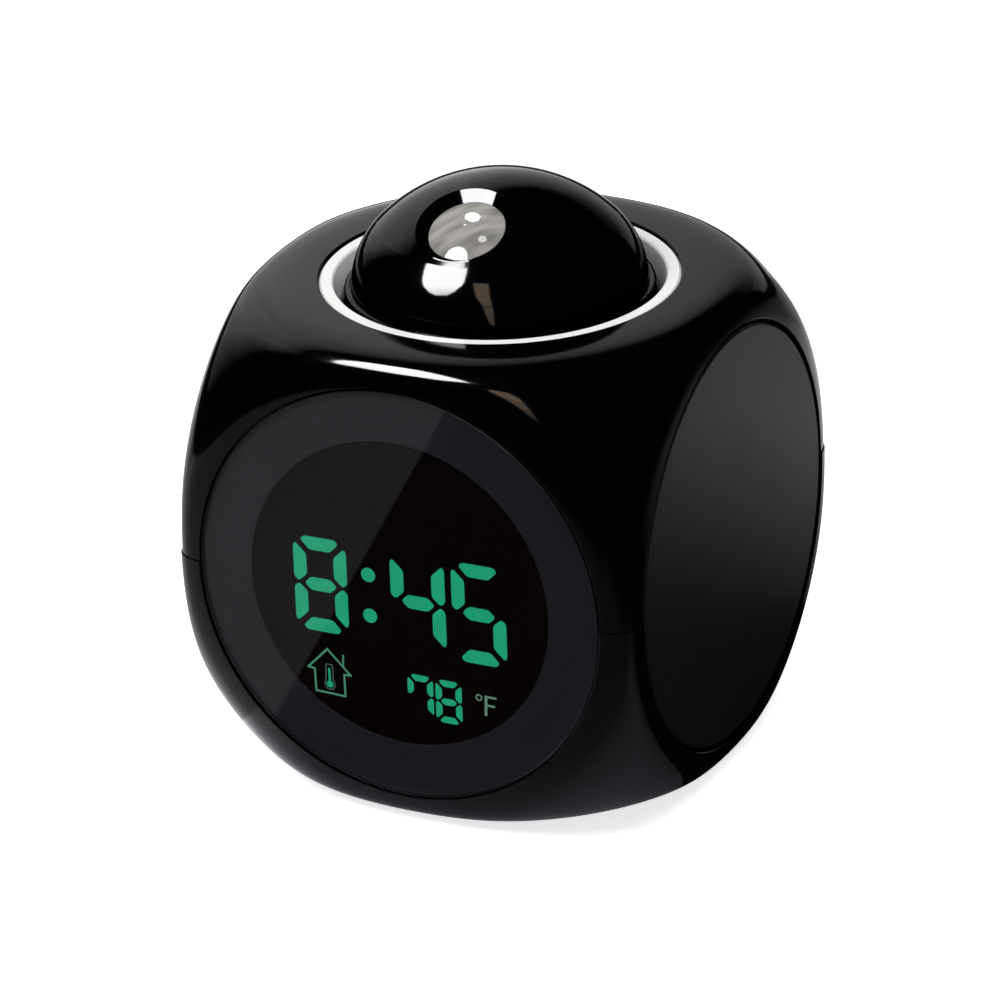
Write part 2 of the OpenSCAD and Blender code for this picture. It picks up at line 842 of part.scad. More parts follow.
module battery_door()
    color("#0c0c0e") from_seam() translate([0, 0, -half_h]) difference() {
        union() {
            block(-door_x, door_x, -door_y, door_y, 0, door_t);
            for (x = [-tab_x, tab_x])
                block(x - 4, x + 4, -door_y - 1.4, -door_y + 3, door_t + 0.1, door_t + 1.3);
            for (x = [-tab_x, tab_x])
                block(x - 4, x + 4, -door_y + 1.5, -door_y + 3, door_t - 0.1, door_t + 0.2);
            // Tongue of the snap latch, over the finger notch
            block(-5, 5, door_y - 0.5, door_y + 1.2, 0, 1);
        }
        // Slits that let the tongue bend
        for (x = [-6, 5.2])
            block(x, x + 0.8, door_y - 7, door_y + 1, -1, door_t + 1);
    }

module cell() {
    disc(cell_r, -cell_l / 2, cell_l / 2, 0.6);
    rod(1.9, cell_l / 2 - 0.01, cell_l / 2 + 0.8);
}

// Cells lie across the bay, each turned end for end from its neighbour
module each_cell()
    for (i = [0 : 2])
        translate([0, (i - 1) * cell_pitch, cell_z])
            rotate([0, 90 * cell_ways[i], 0]) translate([0, 0, cell_shift]) children();

module batteries() color("#3b5a78") from_seam() each_cell() cell();

module contact_springs()
    color("#c3c6c9") from_seam() each_cell()
        translate([0, 0, -bay_x - cell_shift + 0.75])
            coil(3, 0.35, bay_x + cell_shift - 0.8 - cell_l / 2, 3);

module contact_plates()
    color("#c3c6c9") from_seam() each_cell() {
        block(-4, 4, -4, 4, bay_x - cell_shift - 0.65, bay_x - cell_shift - 0.05);
        rod(1.6, cell_l / 2 + 0.82, bay_x - cell_shift - 0.6);
        block(-4, 4, -4, 4, -bay_x - cell_shift + 0.05, -bay_x - cell_shift + 0.7);
    }

upper_shell();
lower_shell();
front_window();
window_ring();
display_frame();
lcd_glass();
light_guide();
lcd_connector();
display_board();
controller_chip();
backlight_leds();
display_screws();
left_cap();
right_cap();
back_panel();
mode_button();
alarm_button();
up_button();
down_button();
switch_knob();
switch_body();
button_board();
tact_switches();
button_board_screws();
speaker_basket();
speaker_cone();
speaker_magnet();
trim_ring();
dome_shell();
lens_collar();
projector_lens();
lens_barrel();
picture_film();
projector_board();
projector_led();
turret_base();
turret_screws();
spindle_washer();
press_plate();
return_spring();
turret_guide();
guide_screws();
snooze_board();
snooze_switch();
battery_door();
batteries();
contact_springs();
contact_plates();
rubber_feet();
shell_screws();
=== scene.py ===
# %% [markdown]
# # A projection alarm clock
# The clock is a ball-cornered cube in gloss black plastic, with a lit display
# behind a round window, satin discs on its sides and a projector dome on top.
# The imported model brings every piece at its real size. This lesson gives the
# pieces their looks: it remakes the two shells as smooth skins, lights the
# display, and mixes every finish from nodes.

# %% Load the imported model
import math

import bmesh
import bpy
import numpy as np
from mathutils import Matrix, Vector


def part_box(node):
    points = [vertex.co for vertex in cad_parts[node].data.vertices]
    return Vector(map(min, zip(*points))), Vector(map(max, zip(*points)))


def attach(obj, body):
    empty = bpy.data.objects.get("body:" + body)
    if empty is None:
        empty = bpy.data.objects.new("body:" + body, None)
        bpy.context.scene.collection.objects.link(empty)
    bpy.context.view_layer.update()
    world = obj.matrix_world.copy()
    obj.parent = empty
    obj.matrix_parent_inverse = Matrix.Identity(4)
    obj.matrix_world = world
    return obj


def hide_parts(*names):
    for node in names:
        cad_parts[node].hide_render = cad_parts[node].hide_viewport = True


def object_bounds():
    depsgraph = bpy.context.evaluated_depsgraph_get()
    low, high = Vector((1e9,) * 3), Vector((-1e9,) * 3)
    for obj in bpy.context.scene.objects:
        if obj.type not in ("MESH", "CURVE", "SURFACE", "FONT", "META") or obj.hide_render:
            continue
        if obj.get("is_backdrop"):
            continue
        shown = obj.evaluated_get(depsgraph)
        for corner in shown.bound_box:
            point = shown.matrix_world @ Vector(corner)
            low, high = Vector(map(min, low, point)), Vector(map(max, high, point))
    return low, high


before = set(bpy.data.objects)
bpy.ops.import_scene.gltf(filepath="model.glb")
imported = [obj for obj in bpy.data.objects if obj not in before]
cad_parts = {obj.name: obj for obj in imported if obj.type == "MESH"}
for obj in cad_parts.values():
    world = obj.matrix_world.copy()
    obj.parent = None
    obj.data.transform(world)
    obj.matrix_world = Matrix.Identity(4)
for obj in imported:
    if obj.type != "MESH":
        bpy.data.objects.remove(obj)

cad_low, cad_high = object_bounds()
MM = 0.001
print("size in mm:", [round(side / MM, 1) for side in cad_high - cad_low])

# %% [markdown]
# ## Measures from the model
# Nothing is measured twice. The faces of the clock are read from the boxes of its
# nodes, so the skins and the display follow when the model changes. The body is
# handled from its middle, which lies in the seam between the two shells.

# %% Measures
def low_corner(name):
    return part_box(name)[0]


def high_corner(name):
    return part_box(name)[1]


seam_z = low_corner("upper_shell").z
half_w = -low_corner("front_window").y
half_h = seam_z - low_corner("lower_shell").z
display_y = low_corner("lcd_glass").y
ball_r = 58.7 * MM     # of the sphere that the corners are parts of
swell = 0.25 * MM      # by which the sides' formula stands outside the discs
seam_step = 0.2 * MM   # by which the lower shell stands outside the upper one
print("seam height", round(seam_z / MM, 2), "half width", round(half_w / MM, 2))

# %% [markdown]
# ## Camera
# A product shot from a little above and to the right, with a long lens so that
# the cube's edges stay almost parallel. The camera is built from its own three
# axes. A look-at constraint would do too, but the axes also take the slight roll.

# %% Camera
IMAGE_PX = 1000
focal_px = 6150.5
distance = 1.0453
azimuth, elevation, roll = (math.radians(a) for a in (26.54, 24.47, -2.0))
middle_px = (507.75, 497.33)

middle = Vector((0, 0, seam_z))
back = Vector((math.sin(azimuth) * math.cos(elevation),
               -math.cos(azimuth) * math.cos(elevation),
               math.sin(elevation)))
level = Vector((0, 0, 1)).cross(back).normalized()
upright = back.cross(level)
side = math.cos(roll) * level + math.sin(roll) * upright
over = -math.sin(roll) * level + math.cos(roll) * upright

camera = bpy.data.objects.new("camera", bpy.data.cameras.new("camera"))
bpy.context.scene.collection.objects.link(camera)
camera.data.sensor_width = 36
camera.data.lens = camera.data.sensor_width * focal_px / IMAGE_PX
camera.data.shift_x = 0.5 - middle_px[0] / IMAGE_PX
camera.data.shift_y = middle_px[1] / IMAGE_PX - 0.5
camera.data.clip_end = 20
camera.matrix_world = Matrix.Translation(middle + back * distance) @ Matrix(
    (side, over, back)).transposed().to_4x4()
bpy.context.scene.camera = camera
bpy.context.scene.view_settings.view_transform = "Standard"
print("lens", round(camera.data.lens, 1), "mm")

# %% [markdown]
# ## Node helpers
# A material is a small graph. These helpers keep each graph short: they add a
# node with its settings, link or fill a socket, make an empty group with named
# sockets, place a group in a material, and do plain sums between sockets.

# %% Node helpers
def add_node(tree, kind, **settings):
    """A node of that kind with its own settings, such as a sum's operation."""
    node = tree.nodes.new(kind)
    for name, value in settings.items():
        setattr(node, name, value)
    return node


def feed(tree, node, socket, value):
    """Links an output to the socket, or sets a plain value on it."""
    target = node.inputs[socket]
    if isinstance(value, bpy.types.NodeSocket):
        tree.links.new(value, target)
    else:
        target.default_value = value


def new_group(name, inputs, outputs):
    """An empty shader group. inputs is (name, default), outputs are names."""
    group = bpy.data.node_groups.new(name, "ShaderNodeTree")
    for label, default in inputs:
        socket = group.interface.new_socket(label, in_out="INPUT", socket_type="NodeSocketFloat")
        socket.default_value = default
    for label in outputs:
        group.interface.new_socket(label, in_out="OUTPUT", socket_type="NodeSocketFloat")
    entry = group.nodes.new("NodeGroupInput")
    leave = group.nodes.new("NodeGroupOutput")
    return group, entry, leave


def use_group(tree, group, **values):
    """Places a group in a material, with its own values."""
    node = tree.nodes.new("ShaderNodeGroup")
    node.node_tree = group
    for name, value in values.items():
        feed(tree, node, name.replace("_", " "), value)
    return node


def maths(tree, operation, first, second=0.0):
    """The outcome of one sum of two outputs or plain values."""
    node = add_node(tree, "ShaderNodeMath", operation=operation)
    feed(tree, node, 0, first)
    feed(tree, node, 1, second)
    return node.outputs[0]


def remap(tree, value, from_low, from_high, to_low, to_high):
    """The value carried from one range to another, and held inside it."""
    node = add_node(tree, "ShaderNodeMapRange")
    node.clamp = True
    for place, number in enumerate((value, from_low, from_high, to_low, to_high)):
        feed(tree, node, place, number)
    return node.outputs[0]


def noise(tree, scale, detail=2.0, rough=0.5):
    """Noise over the piece's own place, so that it never slides."""
    place = add_node(tree, "ShaderNodeTexCoord")
    node = add_node(tree, "ShaderNodeTexNoise")
    tree.links.new(place.outputs["Object"], node.inputs["Vector"])
    feed(tree, node, "Scale", scale)
    feed(tree, node, "Detail", detail)
    feed(tree, node, "Roughness", rough)
    return node.outputs[0]


print("helpers ready")

# %% [markdown]
# ## Effects that several finishes share
# Moulded plastic is never quite even. Three effects cover what the clock shows:
# the fine grain of the mould, the faint smears of handling that make a gloss
# surface a little duller in patches, and hairline rubbing. Each is one group,
# built once, and each material sets its own amounts.

# %% Mould grain
def build_grain():
    group, entry, leave = new_group(
        "mould_grain", [("Grains per metre", 4000.0), ("Tone spread", 0.1)],
        ["Height", "Tone"])
    fine = noise(group, entry.outputs[0], 3.0, 0.6)
    coarse = noise(group, 60.0, 2.0)
    group.links.new(fine, leave.inputs["Height"])
    swing = maths(group, "MULTIPLY", maths(group, "SUBTRACT", coarse, 0.5), entry.outputs[1])
    group.links.new(maths(group, "ADD", swing, 1.0), leave.inputs["Tone"])
    return group


GRAIN = build_grain()
print(GRAIN.name, [s.name for s in GRAIN.interface.items_tree])

# %% Smears of handling
def build_smears():
    group, entry, leave = new_group(
        "handling_smears", [("Smears per metre", 45.0), ("Clean roughness", 0.05),
                            ("Smeared roughness", 0.12)], ["Roughness", "Mask"])
    patches = noise(group, entry.outputs[0], 4.0, 0.65)
    mask = remap(group, patches, 0.52, 0.72, 0.0, 1.0)
    spread = maths(group, "SUBTRACT", entry.outputs[2], entry.outputs[1])
    added = maths(group, "MULTIPLY", mask, spread)
    group.links.new(maths(group, "ADD", added, entry.outputs[1]), leave.inputs["Roughness"])
    group.links.new(mask, leave.inputs["Mask"])
    return group


SMEARS = build_smears()
print(SMEARS.name, [s.name for s in SMEARS.interface.items_tree])

# %% Hairline rubbing
def build_hairlines():
    group, entry, leave = new_group(
        "hairlines", [("Lines per metre", 900.0), ("Share", 0.5)], ["Mask"])
    place = add_node(group, "ShaderNodeTexCoord")
    stretch = add_node(group, "ShaderNodeMapping")
    stretch.inputs["Rotation"].default_value = (0.3, 0.2, 0.7)
    stretch.inputs["Scale"].default_value = (1.0, 0.02, 1.0)
    lines = add_node(group, "ShaderNodeTexNoise")
    group.links.new(place.outputs["Object"], stretch.inputs["Vector"])
    group.links.new(stretch.outputs[0], lines.inputs["Vector"])
    group.links.new(entry.outputs[0], lines.inputs["Scale"])
    lines.inputs["Detail"].default_value = 1.0
    thin = remap(group, lines.outputs[0], 0.66, 0.74, 0.0, 1.0)
    group.links.new(maths(group, "MULTIPLY", thin, entry.outputs[1]), leave.inputs["Mask"])
    return group


HAIRLINES = build_hairlines()
print(HAIRLINES.name, [s.name for s in HAIRLINES.interface.items_tree])

# %% [markdown]
# ## Finishes
# Every finish starts from the same short recipe: a base colour that the grain's
# tone varies a little, a roughness that the smears raise in patches, and a bump
# from the grain. What differs between gloss, satin, rubber and metal is numbers,
# so one function makes them all, and glass and lamps get functions of their own.

# %% The shared recipe
def tinted(tree, colour, amount):
    """The colour, made a little lighter or darker by amount."""
    mix = add_node(tree, "ShaderNodeMix", data_type="RGBA", blend_type="MULTIPLY")
    mix.inputs["Factor"].default_value = 1.0
    mix.inputs["A"].default_value = (*colour, 1.0)
    combine = add_node(tree, "ShaderNodeCombineColor")
    for channel in range(3):
        tree.links.new(amount, combine.inputs[channel])
    tree.links.new(combine.outputs[0], mix.inputs["B"])
    return mix.outputs["Result"]


def finish(name, colour, rough=0.3, smeared=None, metal=0.0, coat=0.0, ior=1.5,
           grains=4000.0, bump=0.02, depth=0.00001, tone=0.12, smears=45.0, lines=0.0):
    """A procedural finish for a moulded, painted or metal piece.

    Where smeared is left out, the smears are half as rough again as the rest."""
    material = bpy.data.materials.new(name)
    material.use_nodes = True
    tree = material.node_tree
    shader = tree.nodes["Principled BSDF"]
    grain = use_group(tree, GRAIN, Grains_per_metre=grains, Tone_spread=tone)
    smear = use_group(tree, SMEARS, Smears_per_metre=smears, Clean_roughness=rough,
                      Smeared_roughness=rough * 1.5 if smeared is None else smeared)
    roughness = smear.outputs["Roughness"]
    if lines:
        rub = use_group(tree, HAIRLINES, Share=lines)
        roughness = maths(tree, "ADD", roughness, rub.outputs["Mask"])
    feed(tree, shader, "Base Color", tinted(tree, colour, grain.outputs["Tone"]))
    feed(tree, shader, "Roughness", roughness)
    feed(tree, shader, "Metallic", metal)
    feed(tree, shader, "IOR", ior)
    if coat:
        feed(tree, shader, "Coat Weight", coat)
        shader.inputs["Coat Roughness"].default_value = 0.03
    relief = add_node(tree, "ShaderNodeBump")
    relief.inputs["Strength"].default_value = bump
    relief.inputs["Distance"].default_value = depth
    tree.links.new(grain.outputs["Height"], relief.inputs["Height"])
    tree.links.new(relief.outputs[0], shader.inputs["Normal"])
    return material


print("recipe ready")

# %% [markdown]
# ### Body and dome
# High-gloss black plastic is almost all reflection: its own colour is close to
# black and its surface is smooth enough to mirror the room sharply. The grain's
# bump stays tiny, or the mirror images would break up.

# %% Plastics
GLOSS_BLACK = finish("gloss_black", (0.0007, 0.0007, 0.0008), rough=0.08, smeared=0.1,
                     grains=900.0, bump=0.01, tone=0.3)
DOME_BLACK = finish("dome_black", (0.0006, 0.0006, 0.0007), rough=0.06, smeared=0.08,
                    grains=900.0, bump=0.008, tone=0.3)
SATIN_GREY = finish("satin_grey", (0.0085, 0.0085, 0.0095), rough=0.33, smeared=0.38,
                    grains=9000.0, bump=0.12, depth=0.00002, tone=0.2)
PANEL_GREY = finish("panel_grey", (0.0085, 0.0085, 0.0092), rough=0.36, smeared=0.42,
                    grains=9000.0, bump=0.15, depth=0.00002, tone=0.2)
WHITE_GLOSS = finish("white_gloss", (0.86, 0.855, 0.84), rough=0.12, smeared=0.2,
                     grains=1200.0, bump=0.02, tone=0.03)
MATT_BLACK = finish("matt_black", (0.012, 0.012, 0.013), rough=0.5, grains=7000.0, bump=0.2,
                    depth=0.00002)
BUTTON_BLACK = finish("button_black", (0.012, 0.012, 0.0135), rough=0.3, smeared=0.22,
                      grains=7000.0, bump=0.1, depth=0.00002)
GUIDE_WHITE = finish("guide_white", (0.80, 0.84, 0.80), rough=0.45, tone=0.05)
NATURAL_PLASTIC = finish("natural_plastic", (0.70, 0.69, 0.65), rough=0.4, tone=0.06)
RUBBER = finish("foot_rubber", (0.014, 0.014, 0.015), rough=0.75, smeared=0.9, grains=5000.0,
                bump=0.4, depth=0.00003)
STRIP_RUBBER = finish("contact_strip", (0.16, 0.17, 0.18), rough=0.6)
CONE_PAPER = finish("cone_paper", (0.03, 0.026, 0.022), rough=0.85, grains=2500.0, bump=0.5,
                    depth=0.00004, tone=0.4)
print(len(bpy.data.materials), "finishes")

# %% Metals, boards and cells
STEEL = finish("plated_steel", (0.50, 0.51, 0.53), rough=0.28, metal=1.0, lines=0.2, tone=0.15)
SPRING_STEEL = finish("spring_steel", (0.62, 0.63, 0.65), rough=0.16, metal=1.0, lines=0.12)
PRESSED_STEEL = finish("pressed_steel", (0.40, 0.41, 0.43), rough=0.35, metal=1.0, lines=0.25)
SOLDER_MASK = finish("solder_mask", (0.015, 0.11, 0.035), rough=0.22, coat=0.3, grains=700.0,
                     bump=0.15, depth=0.00003, tone=0.25)
CHIP_BLACK = finish("chip_black", (0.015, 0.015, 0.016), rough=0.55, bump=0.2)
CELL_WRAP = finish("cell_wrap", (0.05, 0.10, 0.18), rough=0.18, coat=0.4, tone=0.1)
LAMP_CREAM = finish("lamp_cream", (0.85, 0.80, 0.55), rough=0.2, tone=0.05)
print(len(bpy.data.materials), "finishes")

# %% [markdown]
# ### Display and printed ring
# Behind the window lies a ring printed in grey, and inside it the display glass,
# which is nearly black with a warm cast until its segments light up.

# %% Display finishes
WINDOW_PRINT = finish("window_print", (0.0172, 0.0163, 0.0218), rough=0.15, smeared=0.2,
                      grains=6000.0, bump=0.05, tone=0.1)
DISPLAY_BLACK = finish("display_black", (0.0030, 0.0011, 0.0007), rough=0.25, smeared=0.3,
                       tone=0.15)
# The glass lies against the window, so it hardly mirrors anything itself
DISPLAY_BLACK.node_tree.nodes["Principled BSDF"].inputs["Specular IOR Level"].default_value = 0.05


def glowing(name, colour, strength):
    """A lit segment: it glows a little less evenly than a flat colour would."""
    material = finish(name, (0.004, 0.03, 0.02), rough=0.3)
    tree = material.node_tree
    shader = tree.nodes["Principled BSDF"]
    cloud = noise(tree, 220.0, 2.0)
    level_out = remap(tree, cloud, 0.3, 0.7, 0.92, 1.04)
    tree.links.new(tinted(tree, colour, level_out), shader.inputs["Emission Color"])
    shader.inputs["Emission Strength"].default_value = strength
    return material


SEGMENT_GREEN = glowing("segment_green", (0.011, 0.33, 0.165), 1.0)
ICON_GREEN = glowing("icon_green", (0.06, 0.22, 0.14), 1.0)
ICON_DIM = glowing("icon_dim", (0.05, 0.09, 0.075), 1.0)
UNIT_GREEN = glowing("unit_green", (0.11, 0.20, 0.15), 1.0)
print("display finishes ready")

# %% [markdown]
# ### Window and lens
# Clear acrylic is a glass shader with an index near 1.49. Its faint smears go to
# the roughness, and transmission stays a plain number on the shader. The lens is
# the same stuff, made milky by a grey colour that lets a fifth of the light
# through, and its colour runs lighter and darker in slanting streaks.

# %% Clear plastics
def clear_plastic(name, colour, rough, ior):
    material = finish(name, colour, rough=rough, smeared=rough + 0.01, ior=ior, grains=700.0,
                      bump=0.004, tone=0.01)
    material.node_tree.nodes["Principled BSDF"].inputs["Transmission Weight"].default_value = 1.0
    return material


CLEAR_WINDOW = clear_plastic("clear_window", (0.97, 0.965, 0.96), 0.0, 1.49)


def milky_lens(name, colour, clear):
    """Clear stuff, made milky, whose colour runs lighter and darker in slanting streaks."""
    material = finish(name, colour, rough=0.06, smeared=0.1, ior=1.49, grains=700.0, bump=0.004)
    tree = material.node_tree
    shader = tree.nodes["Principled BSDF"]
    place = add_node(tree, "ShaderNodeTexCoord")
    stretch = add_node(tree, "ShaderNodeMapping", vector_type="TEXTURE")
    stretch.inputs["Rotation"].default_value = (0.0, -0.4, 0.65)
    stretch.inputs["Scale"].default_value = (6.0, 1.0, 1.0)
    streaks = add_node(tree, "ShaderNodeTexNoise")
    feed(tree, stretch, "Vector", place.outputs["Object"])
    feed(tree, streaks, "Vector", stretch.outputs[0])
    feed(tree, streaks, "Scale", 450.0)
    feed(tree, streaks, "Detail", 1.0)
    tree.links.new(tinted(tree, colour, remap(tree, streaks.outputs[0], 0.35, 0.65, 0.6, 1.15)),
                   shader.inputs["Base Color"])
    shader.inputs["Transmission Weight"].default_value = clear
    return material


LENS_CLEAR = milky_lens("lens_clear", (0.40, 0.385, 0.36), 0.2)
FILM_GREY = finish("picture_film", (0.10, 0.12, 0.14), rough=0.15)
print("clear plastics ready")

# %% Which node wears which finish
wears = {
    "front_window": CLEAR_WINDOW, "window_ring": WINDOW_PRINT, "display_frame": DISPLAY_BLACK,
    "lcd_glass": DISPLAY_BLACK, "light_guide": GUIDE_WHITE, "lcd_connector": STRIP_RUBBER,
    "display_board": SOLDER_MASK, "controller_chip": CHIP_BLACK,
    "backlight_leds": LAMP_CREAM, "display_screws": STEEL, "left_cap": SATIN_GREY,
    "right_cap": SATIN_GREY, "back_panel": PANEL_GREY, "mode_button": BUTTON_BLACK,
    "alarm_button": BUTTON_BLACK, "up_button": BUTTON_BLACK, "down_button": BUTTON_BLACK,
    "switch_knob": BUTTON_BLACK, "switch_body": PRESSED_STEEL, "button_board": SOLDER_MASK,
    "tact_switches": CHIP_BLACK, "button_board_screws": STEEL,
    "speaker_basket": PRESSED_STEEL, "speaker_cone": CONE_PAPER, "speaker_magnet": STEEL,
    "trim_ring": WHITE_GLOSS, "dome_shell": DOME_BLACK, "lens_collar": DOME_BLACK,
    "projector_lens": LENS_CLEAR, "lens_barrel": MATT_BLACK, "picture_film": FILM_GREY,
    "projector_board": SOLDER_MASK, "projector_led": LAMP_CREAM, "turret_base": DOME_BLACK,
    "turret_screws": STEEL, "spindle_washer": STEEL, "press_plate": NATURAL_PLASTIC,
    "return_spring": SPRING_STEEL, "turret_guide": NATURAL_PLASTIC, "guide_screws": STEEL,
    "snooze_board": SOLDER_MASK, "snooze_switch": CHIP_BLACK, "battery_door": GLOSS_BLACK,
    "batteries": CELL_WRAP, "contact_springs": SPRING_STEEL, "contact_plates": SPRING_STEEL,
    "rubber_feet": RUBBER, "shell_screws": STEEL,
    "upper_shell": GLOSS_BLACK, "lower_shell": GLOSS_BLACK,
}


def dress(piece, material):
    """Gives the piece that finish and no other."""
    piece.data.materials.clear()
    piece.data.materials.append(material)


for node_name, material in wears.items():
    dress(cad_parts[node_name], material)
print(len(wears), "nodes dressed")

# %% [markdown]
# ## Smooth skins for the two shells
# The body is a box whose corners melt into a ball. On a superellipse, powers of a
# point's shares of the half sides add up to one; here the ball's radius is one
# more such share. So the length of any ray from the middle to the skin is a
# formula, and so is the exact normal there. A subdivision surface would come
# close, but it would not keep the flats flat or the ball round.

# %% The blend of box and ball
CRISPNESS = 32  # the power of the shares: the higher, the tighter the round edges
skin_half = np.array([half_w + swell, half_w + swell, half_h])


def blend_of(places, grow):
    """1 on the skin, less inside it and more outside."""
    shares = np.hstack([np.abs(places) / (skin_half + grow),
                        np.linalg.norm(places, axis=1, keepdims=True) / (ball_r + grow)])
    return (shares ** CRISPNESS).sum(axis=1, keepdims=True) ** (1 / CRISPNESS)


def blend_normals(places, grow):
    """The way in which the blend rises fastest."""
    sides, ball = skin_half + grow, ball_r + grow
    radius = np.linalg.norm(places, axis=1, keepdims=True)
    rise = (np.abs(places) / sides) ** (CRISPNESS - 1) * np.sign(places) / sides
    rise += (radius / ball) ** (CRISPNESS - 1) * places / radius / ball
    return rise / np.linalg.norm(rise, axis=1, keepdims=True)


print("half sides of the skin", (skin_half / MM).round(2))

# %% The body's form as a closed mesh
GRID = 150


def round_the_middle(name, grid, reach_of):
    """A closed object from a cube's grid, closer towards the cube's edges.

    reach_of turns unit rays into places on them."""
    form = bmesh.new()
    bmesh.ops.create_cube(form, size=2)
    bmesh.ops.subdivide_edges(form, edges=form.edges[:], cuts=grid - 1, use_grid_fill=True)
    mesh = bpy.data.meshes.new(name)
    form.to_mesh(mesh)
    form.free()
    corners = np.zeros(len(mesh.vertices) * 3)
    mesh.vertices.foreach_get("co", corners)
    closer = np.sin(corners.reshape(-1, 3) * math.pi / 2)
    rays = np.tan(closer * math.pi / 4)
    rays /= np.linalg.norm(rays, axis=1, keepdims=True)
    mesh.vertices.foreach_set("co", (reach_of(rays) + np.array([0, 0, seam_z])).ravel())
    mesh.update()
    piece = bpy.data.objects.new(name, mesh)
    bpy.context.scene.collection.objects.link(piece)
    return piece


def skin(name, grow):
    """The outside of the body, moved out by grow."""
    return round_the_middle(name, GRID, lambda rays: rays / blend_of(rays, grow))


upper_skin = skin("upper_skin", 0.0)
lower_skin = skin("lower_skin", seam_step)
print(len(upper_skin.data.polygons), "faces each")

# %% [markdown]
# ## Cutting the skins
# The openings are cut with turned and square tools, as they were in the solid
# model. A tool's mouth is rounded by 0.3 mm, because a moulded edge is never
# sharp and because that thin round catches the light as a bright line.

# %% Tools
TURNS = 240
FAR = 60.0  # mm from the middle, past every part of the body
AIMS = {"up": Matrix.Identity(4),
        "front": Matrix.Rotation(math.pi / 2, 4, "X"), "back": Matrix.Rotation(-math.pi / 2, 4, "X"),
        "right": Matrix.Rotation(math.pi / 2, 4, "Y"), "left": Matrix.Rotation(-math.pi / 2, 4, "Y")}


def shape(name, corners, faces):
    """A new object from its corners and faces."""
    mesh = bpy.data.meshes.new(name)
    mesh.from_pydata([tuple(c) for c in corners], [], faces)
    mesh.update()
    piece = bpy.data.objects.new(name, mesh)
    bpy.context.scene.collection.objects.link(piece)
    return piece


def turned(name, profile, aim="up", x=0.0, y=0.0, steps=TURNS):
    """A solid of revolution. The profile is (radius, height) in mm from the seam's middle."""
    inner = profile[1:-1]
    corners = [Vector((0, 0, profile[0][1] * MM)), Vector((0, 0, profile[-1][1] * MM))]
    for radius, height in inner:
        for step in range(steps):
            turn = 2 * math.pi * step / steps
            corners.append(Vector((radius * math.cos(turn), radius * math.sin(turn), height)) * MM)
    faces = []
    for step in range(steps):
        following = (step + 1) % steps
        faces.append((0, 2 + following, 2 + step))
        for row in range(len(inner) - 1):
            base = 2 + row * steps
            faces.append((base + step, base + following,
                          base + steps + following, base + steps + step))
        base = 2 + (len(inner) - 1) * steps
        faces.append((1, base + step, base + following))
    place = Matrix.Translation((x * MM, y * MM, seam_z)) @ AIMS[aim]
    return shape(name, [place @ c for c in corners], faces)


def rod(name, radius, low, high, aim="up", x=0.0, y=0.0, steps=48):
    """A plain cylinder between two heights, in mm."""
    return turned(name, [(0, low), (radius, low), (radius, high), (0, high)], aim, x, y, steps)


def block(name, x0, x1, y0, y1, z0, z1):
    """A box between those places, in mm from the seam's middle."""
    corners = [Vector((x, y, z)) * MM + Vector((0, 0, seam_z))
               for z in (z0, z1) for y in (y0, y1) for x in (x0, x1)]
    return shape(name, corners, [(0, 2, 3, 1), (4, 5, 7, 6), (0, 1, 5, 4),
                                 (2, 6, 7, 3), (1, 3, 7, 5), (0, 4, 6, 2)])


def all_above(z):
    return block("above", -FAR, FAR, -FAR, FAR, z, FAR)


def all_below(z):
    return block("below", -FAR, FAR, -FAR, FAR, -FAR, z)


def four(x, y):
    """A place and its three mirror images."""
    return [(side_x * x, side_y * y) for side_x in (-1, 1) for side_y in (-1, 1)]


def combine(piece, tool, operation="DIFFERENCE"):
    """Applies the tool and throws it away."""
    step = piece.modifiers.new("tool", "BOOLEAN")
    step.object = tool
    step.operation = operation
    step.solver = "MANIFOLD"
    with bpy.context.temp_override(object=piece, active_object=piece):
        bpy.ops.object.modifier_apply(modifier=step.name)
    bpy.data.objects.remove(tool)


def mouth(radius, floor, face, round_r=0.3):
    """A round seat's tool, whose mouth is rounded where it meets the face."""
    arc = [(radius + round_r * (1 - math.cos(t)), face - round_r * (1 - math.sin(t)))
           for t in (math.radians(a) for a in (0, 18, 36, 54, 72, 90))]
    return [(0, floor), (radius, floor), *arc, (radius + round_r, FAR), (0, FAR)]


print("tools ready, turned in", TURNS, "steps")

# %% Cut the openings that both shells share
hw, hh = half_w / MM, half_h / MM
SEAT_FACE, RING_FACE = hw - 0.09, hh - 0.01
SEAT_R, RING_SEAT_R, RING_HOLE_R = 36.65, 30.5, 28.5
FRONT_HOLE_R, BACK_HOLE_R, WALL = 34.5, 31.0, 2.2
front_seat = -high_corner("window_ring").y / MM - 0.02
cap_seat = low_corner("right_cap").x / MM - 0.05
back_seat = low_corner("back_panel").y / MM - 0.05
inner_w, inner_h, inner_ball = cap_seat - WALL, hh - WALL, ball_r / MM - WALL


def cavity(name, shrink):
    """The hollow inside the walls, or that hollow drawn in a little."""
    sides = np.array([inner_w - shrink, inner_w - shrink, inner_h - shrink]) * MM
    ball = (inner_ball - shrink) * MM

    def reach_of(rays):
        to_sides = (sides / np.maximum(np.abs(rays), 1e-9)).min(axis=1)
        return rays * np.minimum(to_sides, ball)[:, None]

    return round_the_middle(name, GRID // 2, reach_of)


